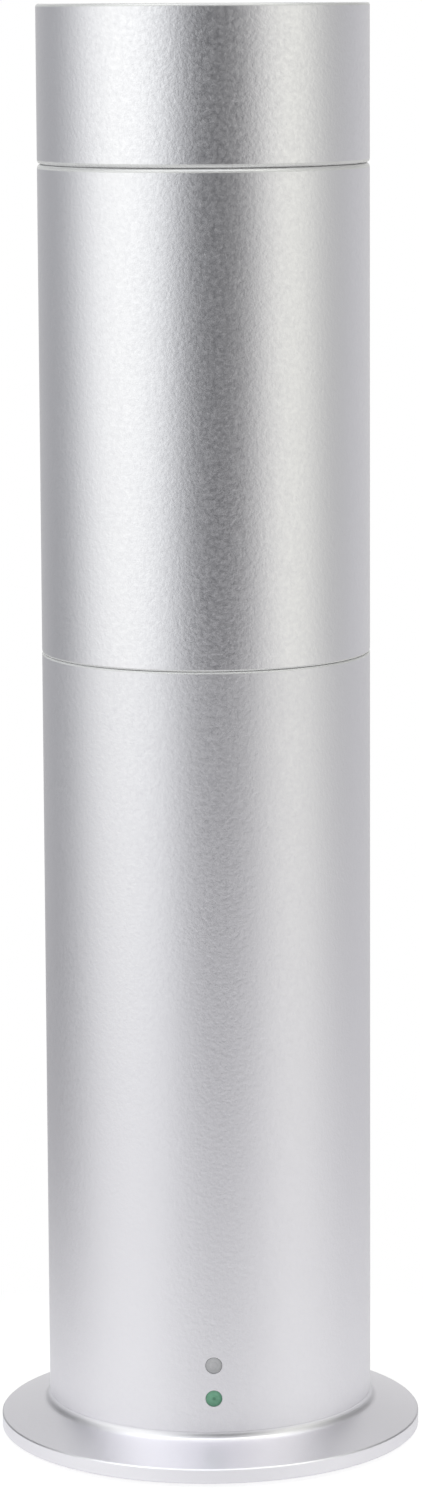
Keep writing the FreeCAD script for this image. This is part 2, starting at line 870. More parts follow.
def make_chassis():
    pieces = [rod("Chassis_floor", f"{WELL} - ballast_gap", "chassis_floor", ("0", "0", WEB_TOP))]
    plate_top = f"({DECK_PLATE_FOOT} - plate_headroom)"
    pieces.append(
        block(
            "Chassis_plate", (
                "-plate_half", "plate_half"
            ), ("plate_face", PLATE_BACK), (WEB_TOP, plate_top)
        )
    )
    post_front = "plate_face - (post_depth - plate_thickness) / 2"
    for side in (1, -1):
        span = sorted(
            (f"{side} * (plate_half - 0.5)", f"{side} * (plate_half + post_width - 0.5)"), key=number
        )
        pieces.append(
            block(
                f"Chassis_post{side}",
                span,
                (post_front, f"{post_front} + post_depth"),
                (WEB_TOP, DECK_PLATE_FOOT),
            )
        )
        pieces.append(
            block(
                f"Chassis_led_arm{side}",
                sorted((f"{side} * led_board_half", f"{side} * (led_board_half - 2)"), key=number),
                ("-led_board_face + board_thickness", "plate_face"),
                (WEB_TOP, "power_lamp_level"),
            )
        )
    for i, (x_side, y_side) in enumerate(CORNERS):
        at = (f"{x_side} * {DIAGONAL}", f"{y_side} * {DIAGONAL}", WEB_TOP)
        pieces.append(rod(f"Chassis_boss{i}", "boss_radius", "chassis_floor + boss_height", at))
    board_back = "(control_board_face - board_thickness)"
    for i, (across, level) in enumerate(control_fixings()):
        pieces.append(
            rod(
                f"Chassis_post_back{i}",
                "standoff_radius",
                f"{board_back} - {PLATE_BACK} + 1",
                (across, f"{PLATE_BACK} - 1", level),
                "+Y",
            )
        )
    for i, (across, level) in enumerate(main_fixings()):
        pieces.append(
            rod(
                f"Chassis_stud{i}",
                "standoff_radius",
                "standoff + 1",
                (across, f"{PLATE_BACK} - 1", level),
                "+Y",
            )
        )
    body = fuse("Chassis_whole", pieces)
    doc.recompute()
    holes = []
    for i, (x_side, y_side) in enumerate(CORNERS):
        at = (f"{x_side} * {DIAGONAL}", f"{y_side} * {DIAGONAL}", WEB_TOP)
        holes.append(
            rod(f"Chassis_hole{i}", "screw_radius + screw_gap", "chassis_floor + boss_height - 0.5", at)
        )
    for side, level in LEAD_HOLES:
        holes.append(
            rod(
                f"Chassis_lead_hole{side}",
                "lead_hole",
                "plate_thickness",
                (LEAD_LINES[side], "plate_face", level),
                "+Y",
            )
        )
    for i, (across, level) in enumerate(control_fixings() + main_fixings()):
        holes.append(
            rod(
                f"Chassis_pilot{i}",
                "small_screw_radius + screw_gap",
                "control_board_face",
                (across, f"{PLATE_BACK} - 2", level),
                "+Y",
            )
        )
    for side in (1, -1):
        holes.append(
            rod(
                f"Chassis_deck_pilot{side}",
                "small_screw_radius + screw_gap",
                "6",
                (deck_screw(side)[0], deck_screw(side)[1], f"{DECK_PLATE_FOOT} - 6"),
            )
        )
        holes.append(
            rod(
                f"Chassis_strap_pilot{side}",
                "small_screw_radius + screw_gap",
                "plate_thickness",
                (f"{side} * ({strap_screw()})", "plate_face", strap_level()),
                "+Y",
            )
        )
    keep(cut("Chassis", body, holes), "chassis")


def control_fixings():
    """Where the control board is screwed on: beside the controls, at its foot and at its top."""
    across = "(control_board_half - standoff_radius)"
    return [
        (f"{side} * {across}", level)
        for side in (1, -1)
        for level in ("window_foot + 1.6", f"{WINDOW_TOP} - 1.6")
    ]


def main_fixings():
    across = "(main_board_half - standoff_radius)"
    return [
        (f"{side} * {across}", level)
        for side in (1, -1)
        for level in (
            "main_board_foot + standoff_radius",
            "main_board_foot + main_board_height - standoff_radius",
        )
    ]


def deck_screw(side):
    return (f"{side} * (plate_half + post_width / 2 - 0.5)", "plate_face + plate_thickness / 2")


def strap_screw():
    return "can_radius + sleeve_thickness + strap_thickness + strap_foot_width / 2"


def strap_level():
    return "pump_foot + can_length / 2"


# ---- rear panel and what it carries ----


def make_rear_panel():
    skin = ring(
        "RearPanel_skin_ring",
        PANEL_BACK,
        SPIGOT,
        "window_foot - panel_flange",
        f"{WINDOW_TOP} + panel_flange",
    )
    flange = common(
        "RearPanel_flange",
        [
            skin,
            block(
                "RearPanel_flange_box",
                ("-window_half - panel_flange", "window_half + panel_flange"),
                ("0", "tube_radius"),
                ("window_foot - panel_flange", f"{WINDOW_TOP} + panel_flange"),
            ),
        ],
    )
    face_ring = ring("RearPanel_face_ring", PANEL_BACK, PANEL_OUTER, "window_foot", WINDOW_TOP)
    face = common(
        "RearPanel_face",
        [
            face_ring,
            rounded_block(
                "RearPanel_face_box",
                ("-window_half + window_gap", "window_half - window_gap"),
                ("0", "tube_radius + 1"),
                ("window_foot + window_gap", f"{WINDOW_TOP} - window_gap"),
                "window_corner - window_gap",
            ),
        ],
    )
    whole = fuse("RearPanel_whole", [flange, face])
    doc.recompute()
    tools = []
    for level, seat, hole in (
        ("jack_level", "jack_seat", "jack_bush + slip_gap"),
        ("button_level", "button_seat", "button_radius + slip_gap"),
        ("knob_level", "knob_seat", "bushing_radius + slip_gap"),
    ):
        tools.append(
            rod(f"RearPanel_seat_{level}", seat, "seat_depth + 2", ("0", SEAT_FACE, level), "+Y"),
        )
        tools.append(rod(f"RearPanel_hole_{level}", hole, "12", ("0", f"{PANEL_BACK} - 5", level), "+Y"))
    keep(cut("RearPanel", whole, tools), "rear_panel")


def make_controls():
    board_back = "(control_board_face - board_thickness)"
    board = block(
        "ControlBoard_sheet",
        ("-control_board_half", "control_board_half"),
        (board_back, "control_board_face"),
        ("window_foot - 1", f"{WINDOW_TOP} + 1"),
    )
    doc.recompute()
    holes = [
        rod(
            f"ControlBoard_hole{i}",
            "small_screw_radius + screw_gap",
            "board_thickness + 2",
            (across, f"{board_back} - 1", level),
            "+Y",
        )
        for i, (across, level) in enumerate(control_fixings())
    ]
    keep(cut("ControlBoard", board, holes), "control_board")

    jack_front = f"({SEAT_FACE} + 1)"
    body = block(
        "Jack_box",
        ("-jack_half", "jack_half"),
        ("control_board_face", f"{PANEL_BACK} - 0.8"),
        ("jack_level - jack_half", "jack_level + jack_half"),
    )
    bush = rod(
        "Jack_bush",
        "jack_bush",
        f"{jack_front} - control_board_face - 1",
        ("0", "control_board_face + 1", "jack_level"),
        "+Y",
    )
    whole = fuse("Jack_whole", [body, bush])
    doc.recompute()
    barrel = rod(
        "Jack_barrel",
        "jack_bore",
        "jack_depth + 1",
        ("0", f"{jack_front} - jack_depth", "jack_level"),
        "+Y",
    )
    hollow = cut("Jack_hollow", whole, [barrel])
    pin = rod(
        "Jack_pin",
        "jack_pin",
        "jack_depth - 0.5",
        ("0", f"{jack_front} - jack_depth - 0.5", "jack_level"),
        "+Y",
    )
    keep(fuse("Jack", [hollow, pin]), "dc_jack")

    pot_front = "(control_board_face + pot_depth)"
    case = rod("Pot_case", "pot_radius", "pot_depth", ("0", "control_board_face", "knob_level"), "+Y")
    bushing = rod(
        "Pot_bushing",
        "bushing_radius",
        f"{SEAT_FACE} + 0.4 - {pot_front}",
        ("0", pot_front, "knob_level"),
        "+Y",
    )
    whole = fuse("Pot_whole", [case, bushing])
    doc.recompute()
    bore = rod(
        "Pot_bore",
        "shaft_radius + running_gap",
        "20",
        ("0", "control_board_face + 2", "knob_level"),
        "+Y",
    )
    keep(cut("Pot", whole, [bore]), "speed_pot")

    shaft_foot = "control_board_face + 2.5"
    knob_foot = f"({SEAT_FACE} + 0.6)"
    shaft = rod(
        "KnobShaft_rod",
        "shaft_radius",
        f"{knob_foot} + knob_length - 1.6 - ({shaft_foot})",
        ("0", shaft_foot, "knob_level"),
        "+Y",
    )
    keep(shaft, "knob_shaft")
    cap = rod("Knob_cap", "knob_radius", "knob_length", ("0", knob_foot, "knob_level"), "+Y")
    doc.recompute()
    grips = []
    for i in range(24):
        angle = 2 * math.pi * i / 24
        at = (
            f"{math.cos(angle):.6f} * (knob_radius + 0.25)",
            f"{knob_foot} - 1",
            f"knob_level + {math.sin(angle):.6f} * (knob_radius + 0.25)",
        )
        grips.append(rod(f"Knob_grip{i}", "0.6", "knob_length - 0.2", at, "+Y"))
    socket = rod(
        "Knob_socket",
        "shaft_radius + running_gap",
        "knob_length - 1.5",
        ("0", knob_foot, "knob_level"),
        "+Y",
    )
    mark = block(
        "Knob_mark",
        ("-0.4", "0.4"),
        (f"{knob_foot} + knob_length - 0.4", f"{knob_foot} + knob_length + 1"),
        ("knob_level + 3", "knob_level + knob_radius + 1"),
    )
    keep(cut("Knob", cap, [*grips, socket, mark]), "intensity_knob")

    switch_front = f"({PANEL_BACK} - 3.2)"
    case = block(
        "Switch_case",
        ("-switch_half", "switch_half"),
        ("control_board_face", switch_front),
        ("button_level - switch_half", "button_level + switch_half"),
    )
    doc.recompute()
    bore = rod("Switch_bore", "1.6", "4", ("0", f"{switch_front} - 3.4", "button_level"), "+Y")
    keep(cut("Switch", case, [bore]), "power_switch")

    flange_face = f"({PANEL_BACK} - 0.7)"
    button_face = f"({SEAT_FACE} + button_stand)"
    cap = rod(
        "Button_cap",
        "button_radius",
        f"{button_face} - ({flange_face} - 0.5)",
        ("0", f"{flange_face} - 0.5", "button_level"),
        "+Y",
    )
    flange = rod(
        "Button_flange", "button_radius + 0.7", "0.8", ("0", f"{flange_face} - 0.8", "button_level"), "+Y"
    )
    stem = rod(
        "Button_stem",
        "1.5",
        f"{flange_face} - 0.4 - ({switch_front} - 1.9)",
        ("0", f"{switch_front} - 1.9", "button_level"),
        "+Y",
    )
    whole = fuse("Button_whole", [cap, flange, stem])
    doc.recompute()
    dish = doc.addObject("Part::Sphere", "Button_dish")
    dish.setExpression("Radius", bound("button_dish"))
    place(dish, ("0", f"{button_face} + button_dish - button_dish_depth", "button_level"))
    keep(cut("Button", whole, [dish]), "power_button")


# ---- indicator lamps ----


def make_lamps():
    board_back = "-led_board_face + board_thickness"
    board = block(
        "LampBoard",
        ("-led_board_half", "led_board_half"),
        ("-led_board_face", board_back),
        ("power_lamp_level - 2.8", "status_lamp_level + 4"),
    )
    keep(board, "lamp_board")
    bulbs = []
    for i, level in enumerate(("power_lamp_level", "status_lamp_level")):
        stem = rod(f"Led_stem{i}", "led_radius", "3.4", ("0", "-led_board_face", level), "-Y")
        dome = doc.addObject("Part::Sphere", f"Led_dome{i}")
        dome.setExpression("Radius", bound("led_radius"))
        place(dome, ("0", "-led_board_face - 3.4", level))
        collar = rod(f"Led_collar{i}", "led_radius + 0.4", "1", ("0", "-led_board_face", level), "-Y")
        bulbs.append(fuse(f"Led{i}", [stem, dome, collar]))
    keep(group("Leds", bulbs), "led_bulbs")
    for name, level, label in (
        ("PowerLens", "power_lamp_level", "power_lens"),
        ("StatusLens", "status_lamp_level", "status_lens"),
    ):
        stem = rod(name + "_stem", "lamp_radius", "tube_wall + 1.2", ("0", f"-{BORE} + 1.2", level), "-Y")
        flange = rod(name + "_flange", "lamp_flange", "1.2", ("0", f"-{BORE} + 1.4", level), "-Y")
        dome = doc.addObject("Part::Sphere", name + "_dome")
        dome.setExpression("Radius", bound("lens_dome"))
        place(dome, ("0", "-tube_radius + lens_dome - 0.1", level))
        doc.recompute()
        end = rod(
            name + "_end", "lamp_radius", "lens_dome", ("0", "-tube_radius + lens_dome - 1", level), "-Y"
        )
        keep(fuse(name, [flange, stem, common(name + "_tip", [end, dome])]), label)


# ---- intake and boards ----


def make_intake():
    outer = f"({BORE} - slip_gap)"
    pad = ring(
        "Filter_ring",
        f"{outer} - filter_thickness",
        outer,
        "vent_foot - filter_margin",
        f"{VENT_TOP} + filter_margin",
    )
    reach = "(tube_radius * sin((vent_spread / 2) * 1deg) + filter_margin)"
    clip = block("Filter_clip", (f"-{reach}", reach), ("0", "tube_radius"), ("0", TUBE_TOP))
    keep(common("Filter", [pad, clip]), "intake_filter")


def make_main_board():
    front = f"({PLATE_BACK} + standoff)"
    back = f"({front} + board_thickness)"
    sheet_board = block(
        "MainBoard_sheet",
        ("-main_board_half", "main_board_half"),
        (front, back),
        ("main_board_foot", "main_board_foot + main_board_height"),
    )
    doc.recompute()
    holes = [
        rod(
            f"MainBoard_hole{i}",
            "small_screw_radius + screw_gap",
            "board_thickness + 2",
            (across, f"{front} - 1", level),
            "+Y",
        )
        for i, (across, level) in enumerate(main_fixings())
    ]
    keep(cut("MainBoard", sheet_board, holes), "main_board")

    def chip(name, x, z, width, height, depth):
        return block(
            name,
            (f"{x - width / 2}", f"{x + width / 2}"),
            (back, f"{back} + {depth}"),
            (f"main_board_foot + {z - height / 2}", f"main_board_foot + {z + height / 2}"),
        )

    chips = [
        chip("Chip_controller", 0, 22, 10, 10, 1.6),
        chip("Chip_driver", -9, 38, 5, 6, 1.5),
        chip("Chip_regulator", 9, 38, 6.5, 6, 2.3),
        chip("Chip_coil", -11.5, 20, 7, 7, 4.0),
        chip("Chip_plug_fan", 5.5, 51, 7.5, 5, 5.5),
        chip("Chip_plug_pump", -5.5, 51, 7.5, 5, 5.5),
        chip("Chip_plug_panel", 6.5, 5, 12, 5, 5.5),
        rod("Chip_capacitor", "3.15", "7", ("10.5", back, "main_board_foot + 21"), "+Y"),
    ]
    keep(group("BoardParts", chips), "board_parts")

    for i, (across, level) in enumerate(control_fixings()):
        small_screws.append(small_screw(f"ControlScrew{i}", (across, "control_board_face", level), "-Y"))
    for i, (across, level) in enumerate(main_fixings()):
        small_screws.append(small_screw(f"MainScrew{i}", (across, back, level), "-Y"))


# ---- air pump ----


def on_pump_axis(item):
    """Moves a piece turned about the origin onto the pump's own axis."""
    place(item, ("0", "-pump_set_back", "0"))
    return item


def make_pump():
    seat = "(motor_shaft + running_gap)"
    can = turned(
        "PumpCan",
        [
            (seat, "pump_foot"),
            ("can_radius", "pump_foot"),
            ("can_radius", CAN_TOP),
            ("can_radius - can_wall", CAN_TOP),
            ("can_radius - can_wall", "pump_foot + can_wall"),
            ("3", "pump_foot + can_wall"),
            ("3", "pump_foot + 3"),
            (seat, "pump_foot + 3"),
        ],
    )
    keep(on_pump_axis(can), "pump_can")

    magnet_outer = "(can_radius - can_wall - slip_gap)"
    magnet = ring(
        "Magnet_ring",
        f"{magnet_outer} - magnet_thickness",
        magnet_outer,
        "pump_foot + 5",
        f"{CAN_TOP} - 4",
    )
    arcs = []
    for side in (1, -1):
        span = sorted((f"{side} * 3.5", f"{side} * can_radius"), key=number)
        clip = block(f"Magnet_clip{side}", span, ("-can_radius", "can_radius"), ("pump_foot", CAN_TOP))
        arcs.append(common(f"Magnet{side}", [magnet, clip]))
    keep(on_pump_axis(group("Magnets", arcs)), "pump_magnets")

    armature = turned(
        "Armature",
        [
            ("motor_shaft", "pump_foot + 5"),
            ("armature_radius - 2", "pump_foot + 5"),
            ("armature_radius", "pump_foot + 7"),
            ("armature_radius", f"{CAN_TOP} - 7"),
            ("armature_radius - 2", f"{CAN_TOP} - 5"),
            ("motor_shaft", f"{CAN_TOP} - 5"),
        ],
    )
    keep(on_pump_axis(armature), "pump_armature")

    shaft_top = f"{CAN_TOP} + pump_floor + 1 + crank_height"
    shaft = rod(
        "PumpShaft",
        "motor_shaft - 0.01",
        f"{shaft_top} - (pump_foot + 1)",
        ("0", "-pump_set_back", "pump_foot + 1"),
    )
    keep(shaft, "pump_shaft")

    crank_foot = f"({CAN_TOP} + pump_floor + 1)"
    wheel = turned(
        "PumpCrank_wheel",
        [
            ("motor_shaft", crank_foot),
            ("crank_radius", crank_foot),
            ("crank_radius", f"{crank_foot} + crank_height"),
            ("motor_shaft", f"{crank_foot} + crank_height"),
        ],
    )
    # The leaning pin's tip stays on the axis while its foot goes round, which is what rocks the yoke.
    lean = math.atan(number("pin_throw") / number("crank_height / 2 + 2.4 + 1.2"))
    length = number("crank_height / 2 + 2.4 + 1.2") / math.cos(lean)
    pin = rod("PumpCrank_pin", "0.7", str(length), ("pin_throw", "0", f"{crank_foot} + crank_height / 2"))
    pin.Placement = FreeCAD.Placement(
        pin.Placement.Base, FreeCAD.Rotation(FreeCAD.Vector(0, 1, 0), -math.degrees(lean))
    )
    keep(on_pump_axis(fuse("PumpCrank", [wheel, pin])), "pump_crank")

    body = turned(
        "PumpBody",
        [
            (seat, CAN_TOP),
            ("pump_radius", CAN_TOP),
            ("pump_radius", PUMP_BODY_TOP),
            ("pump_cavity", PUMP_BODY_TOP),
            ("pump_cavity", f"{CAN_TOP} + pump_floor"),
            (seat, f"{CAN_TOP} + pump_floor"),
        ],
    )
    screw_circle = "(pump_cavity + pump_radius) / 2"
    hole = pocket(
        body, "PumpBody_hole", "XY_Plane", [(screw_circle, "0")], "small_screw_radius + screw_gap"
    )
    polar(body, "PumpBody_holes", hole, "3")
    keep(on_pump_axis(body), "pump_body")

    yoke_foot = f"({crank_foot} + crank_height + 2.4)"
    hub = [rod("Yoke_hub", "2.6", "3", ("0", "0", yoke_foot))]
    cups, stems = [], []
    cup_circle = 5.2
    for i in range(3):
        angle = 2 * math.pi * i / 3
        spot = (f"{cup_circle * math.cos(angle):.6f}", f"{cup_circle * math.sin(angle):.6f}")
        hub.append(rod(f"Yoke_arm{i}", "3.2", "1.6", (*spot, yoke_foot)))
        stems.append(rod(f"Cup_stem{i}", "1", "2", (*spot, f"{yoke_foot} + 1.6")))
        cups.append(
            rod(
                f"Cup{i}", "2.9", f"{PUMP_BODY_TOP} - ({yoke_foot} + 3.6)", (*spot, f"{yoke_foot} + 3.6")
            ),
        )
    whole = fuse("PumpYoke_whole", hub)
    doc.recompute()
    keep(
        on_pump_axis(cut("PumpYoke", whole, [rod("Yoke_socket", "1.4", "2", ("0", "0", yoke_foot))])),
        "pump_yoke",
    )
    disc = rod("Diaphragm_disc", "pump_radius - 0.2", "diaphragm_thickness", ("0", "0", PUMP_BODY_TOP))
    whole = fuse("Diaphragm_whole", [disc, *cups, *stems])
    keep(on_pump_axis(drill_pump("Diaphragm", whole)), "pump_diaphragm")

    plate = rod("ValvePlate_disc", "pump_radius", "valve_plate", ("0", "0", VALVE_FOOT))
    keep(on_pump_axis(drill_pump("ValvePlate", plate)), "pump_valve_plate")

    cover = turned(
        "PumpCover_turned_part",
        [
            ("nipple_bore", PUMP_COVER_FOOT),
            ("pump_radius", PUMP_COVER_FOOT),
            ("pump_radius", f"{PUMP_COVER_TOP} - fine_chamfer"),
            ("pump_radius - fine_chamfer", PUMP_COVER_TOP),
            ("nipple_radius", PUMP_COVER_TOP),
            ("nipple_radius", f"{NIPPLE_TOP} - 0.6"),
            ("nipple_radius - 0.4", NIPPLE_TOP),
            ("nipple_bore", NIPPLE_TOP),
        ],
    )
    keep(on_pump_axis(drill_pump("PumpCover", cover)), "pump_cover")

    screws = []
    for i in range(3):
        angle = 2 * math.pi * i / 3
        at = (
            f"{math.cos(angle):.6f} * {screw_circle}",
            f"{math.sin(angle):.6f} * {screw_circle}",
            PUMP_COVER_TOP,
        )
        length = f"{PUMP_COVER_TOP} - {CAN_TOP} - 3"
        screws.append(
            screw(
                f"PumpScrew{i}",
                at,
                "-Z",
                length,
                "small_screw_radius",
                "small_screw_head",
                "small_screw_head_height",
            )
        )
    keep(on_pump_axis(group("PumpScrews", screws)), "pump_screws")

    sleeve_foot = "pump_foot + 2"
    sleeve = ring(
        "PumpSleeve",
        "can_radius + running_gap",
        "can_radius + sleeve_thickness",
        sleeve_foot,
        f"{CAN_TOP} - 2",
    )
    keep(on_pump_axis(sleeve), "pump_sleeve")
    make_strap()


def drill_pump(name, base):
    """The three screw holes through the pump's stacked head."""
    doc.recompute()
    screw_circle = "(pump_cavity + pump_radius) / 2"
    holes = []
    for i in range(3):
        angle = 2 * math.pi * i / 3
        at = (
            f"{math.cos(angle):.6f} * {screw_circle}", f"{math.sin(angle):.6f} * {screw_circle}", CAN_TOP
        )
        holes.append(rod(f"{name}_hole{i}", "small_screw_radius + screw_gap", "60", at))
    return cut(name, base, holes)


def make_strap():
    inner = "(can_radius + sleeve_thickness + running_gap)"
    outer = f"({inner} + strap_thickness)"
    low, high = f"{strap_level()} - strap_height / 2", f"{strap_level()} + strap_height / 2"
    hoop = ring("Strap_hoop", inner, outer, low, high)
    place(hoop, ("0", "-pump_set_back", "0"))
    front = common(
        "Strap_front",
        [
            hoop,
            block(
                "Strap_front_box",
                (f"-{outer}", outer),
                (f"-pump_set_back - {outer}", "-pump_set_back"),
                (low, high),
            ),
        ],
    )
    pieces = [front]
    for side in (1, -1):
        leg = sorted((f"{side} * {inner}", f"{side} * {outer}"), key=number)
        foot = sorted((f"{side} * {inner}", f"{side} * ({outer} + strap_foot_width)"), key=number)
        pieces.append(block(f"Strap_leg{side}", leg, ("-pump_set_back", "plate_face"), (low, high)))
        pieces.append(
            block(f"Strap_foot{side}", foot, ("plate_face - strap_thickness", "plate_face"), (low, high)),
        )
    whole = fuse("Strap_whole", pieces)
    doc.recompute()
    holes = []
    for side in (1, -1):
        at = (f"{side} * ({strap_screw()})", "plate_face - strap_thickness", strap_level())
        holes.append(
            rod(f"Strap_hole{side}", "small_screw_radius + screw_gap", "strap_thickness", at, "+Y"),
        )
        small_screws.append(small_screw(f"StrapScrew{side}", at, "+Y"))
    keep(cut("Strap", whole, holes), "pump_strap")


# ---- fan ----


def make_fan():
    frame = rounded_square("FanFrame_block", FAN_HALF, FAN_FOOT, f"{FAN_FOOT} + fan_depth", "3")
    doc.recompute()
    tools = [rod("FanFrame_duct", FAN_BORE, "fan_depth + 2", ("0", "0", f"{FAN_FOOT} - 1"))]
    for i, (x_side, y_side) in enumerate(CORNERS):
        at = (f"{x_side} * {FAN_HOLE}", f"{y_side} * {FAN_HOLE}", f"{FAN_FOOT} - 1")
        tools.append(rod(f"FanFrame_hole{i}", "screw_radius + screw_gap", "fan_depth + 2", at))
    duct = cut("FanFrame_duct_cut", frame, tools)
    inside = [
        rod("FanFrame_hub", "fan_hub", "fan_base", ("0", "0", FAN_FOOT)),
        rod(
            "FanFrame_tube",
            "3.1",
            f"{FAN_CUP_TOP} - fan_cup_wall - 0.8 - {FAN_FOOT}",
            ("0", "0", FAN_FOOT),
        ),
    ]
    for i, (x_half, y_half) in enumerate(((f"{FAN_BORE} + 0.2", "1"), ("1", f"{FAN_BORE} + 0.2"))):
        inside.append(
            block(
                f"FanFrame_spoke{i}", (f"-({x_half})", x_half), (f"-({y_half})", y_half), (
                    FAN_FOOT, f"{FAN_FOOT} + fan_base"
                )
            )
        )
    whole = fuse("FanFrame_whole", [duct, *inside])
    doc.recompute()
    keep(
        cut("FanFrame", whole, [rod("FanFrame_bore", "2.4", "30", ("0", "0", f"{FAN_FOOT} + 0.6"))]),
        "fan_frame",
    )

    bearing_top = f"{FAN_CUP_TOP} - fan_cup_wall - 0.8"
    bearing = ring(
        "FanBearing",
        "fan_shaft_radius + running_gap",
        "2.4 - running_gap",
        f"{FAN_FOOT} + 0.8",
        bearing_top,
    )
    keep(bearing, "fan_bearing")
    stator = ring(
        "FanStator",
        "3.1 + running_gap",
        "fan_hub - fan_cup_wall - 1",
        f"{FAN_FOOT} + fan_base + 1",
        f"{bearing_top} - 0.6",
    )
    keep(stator, "fan_stator")

    cup_foot = f"{FAN_FOOT} + fan_base + 0.6"
    cup_inner = "fan_hub - fan_cup_wall"
    cup = turned(
        "FanCup",
        [
            ("fan_shaft_radius", f"{FAN_CUP_TOP} - fan_cup_wall"),
            (cup_inner, f"{FAN_CUP_TOP} - fan_cup_wall"),
            (cup_inner, cup_foot),
            ("fan_hub", cup_foot),
            ("fan_hub", f"{FAN_CUP_TOP} - 0.8"),
            ("fan_hub - 0.8", FAN_CUP_TOP),
            ("fan_shaft_radius", FAN_CUP_TOP),
        ],
    )
    blades = [blade(i, cup_foot) for i in range(int(number("fan_blades")))]
    keep(fuse("FanRotor", [cup, *blades]), "fan_rotor")
    shaft = rod(
        "FanShaft",
        "fan_shaft_radius - 0.01",
        f"{FAN_CUP_TOP} - ({FAN_FOOT} + 1)",
        ("0", "0", f"{FAN_FOOT} + 1"),
    )
    keep(shaft, "fan_shaft")

    for i, (x_side, y_side) in enumerate(CORNERS):
        at = (f"{x_side} * {FAN_HOLE}", f"{y_side} * {FAN_HOLE}", DECK_PLATE_TOP)
        large_screws.append(screw(f"FanScrew{i}", at, "-Z", "screw_length"))


def blade(index, cup_foot):
    """One pitched blade, from the hub's wall out to the tip gap."""
    turn = 360 / number("fan_blades") * index
    middle = f"({cup_foot} + {FAN_CUP_TOP}) / 2"
    chord = f"({FAN_CUP_TOP} - ({cup_foot}) - 0.6) / sin(blade_pitch * 1deg)"
    slab = doc.addObject("Part::Box", f"Blade{index}_slab")
    slab.setExpression("Length", bound(f"{FAN_BORE} - fan_tip_gap + 1"))
    slab.setExpression("Width", bound("blade_thickness"))
    slab.setExpression("Height", bound(chord))
    pitch = FreeCAD.Rotation(FreeCAD.Vector(1, 0, 0), 90 - number("blade_pitch"))
    offset = FreeCAD.Vector(0, -number("blade_thickness") / 2, -number(chord) / 2)
    tilted = FreeCAD.Placement(FreeCAD.Vector(), pitch).multiply(
        FreeCAD.Placement(offset, FreeCAD.Rotation()),
    )
    around = FreeCAD.Placement(
        FreeCAD.Vector(0, 0, number(middle)), FreeCAD.Rotation(FreeCAD.Vector(0, 0, 1), turn)
    )
    slab.Placement = around.multiply(tilted)
    sweep = ring(
        f"Blade{index}_sweep",
        "fan_hub - 0.5",
        f"{FAN_BORE} - fan_tip_gap",
        f"{cup_foot} + 0.3",
        f"{FAN_CUP_TOP} - 1",
    )
    return common(f"Blade{index}", [slab, sweep])


def rounded_square(name, half, foot, top, corner):
    """A square plate about the Z axis with its four upright edges rounded."""
    sharp = block(name + "_sharp", (f"-{half}", half), (f"-{half}", half), (foot, top))
    doc.recompute()
    edges = []
    for i, edge in enumerate(sharp.Shape.Edges, start=1):
        run = edge.Vertexes[1].Point - edge.Vertexes[0].Point
        if abs(run.z) > abs(run.x) + abs(run.y):
            edges.append((i, number(corner), number(corner)))
    item = doc.addObject("Part::Fillet", name)
    item.Base = sharp
    item.Edges = edges
    return item


# ---- deck, tray and riser ----


def make_deck():
    groove = f"({COVER_FOOT} + collar_height / 2)"
    half = "(ring_cord + slip_gap)"
    collar = f"({BORE} - collar_gap)"
    collar_top = f"({COVER_FOOT} + collar_height)"
    body = turned(
        "Deck_turned_part",
        [
            (FAN_BORE, DECK_PLATE_FOOT),
            (DECK_BORE, DECK_PLATE_FOOT),
            (DECK_BORE, f"{DECK_PLATE_FOOT} - deck_skirt"),
            (SPIGOT, f"{DECK_PLATE_FOOT} - deck_skirt"),
            (SPIGOT, TUBE_TOP),
            (collar, TUBE_TOP),
            (collar, f"{groove} - {half}"),
            (f"{collar} - ring_cord", f"{groove} - {half}"),
            (f"{collar} - ring_cord", f"{groove} + {half}"),
            (collar, f"{groove} + {half}"),
            (collar, f"{collar_top} - collar_chamfer"),
            (f"{collar} - collar_chamfer", collar_top),
            (DECK_BORE, collar_top),
            (DECK_BORE, DECK_PLATE_TOP),
            (FAN_BORE, DECK_PLATE_TOP),
        ],
    )
    boss = rod(
        "Deck_boss",
        "riser_boss",
        "deck_plate + riser_boss_height",
        ("riser_offset", "0", DECK_PLATE_FOOT),
    )
    whole = fuse("Deck_whole", [body, boss])
    doc.recompute()
    tools = [
        rod(
            "Deck_riser_hole",
            "riser_radius + running_gap",
            "30",
            ("riser_offset", "0", f"{DECK_PLATE_FOOT} - 5"),
        ),
    ]
    for i, (x_side, y_side) in enumerate(CORNERS):
        at = (f"{x_side} * {FAN_HOLE}", f"{y_side} * {FAN_HOLE}", f"{DECK_PLATE_FOOT} - 1")
        tools.append(rod(f"Deck_fan_hole{i}", "screw_radius + screw_gap", "deck_plate + 2", at))
    for side in (1, -1):
        at = (*deck_screw(side), f"{DECK_PLATE_FOOT} - 1")
        tools.append(rod(f"Deck_post_hole{side}", "small_screw_radius + screw_gap", "deck_plate + 2", at))
    level = f"{DECK_PLATE_FOOT} - deck_skirt / 2"
    tools.append(
        rod(
            "Deck_tube_screw",
            "small_screw_radius + screw_gap",
            "6",
            ("0", f"{DECK_BORE} - 1", level),
            "+Y",
        ),
    )
    keep(cut("Deck", whole, tools), "deck")
    keep(o_ring("DeckSeal", groove), "deck_seal")

    for side in (1, -1):
        at = (*deck_screw(side), DECK_PLATE_TOP)
        small_screws.append(small_screw(f"DeckScrew{side}", at, "-Z"))


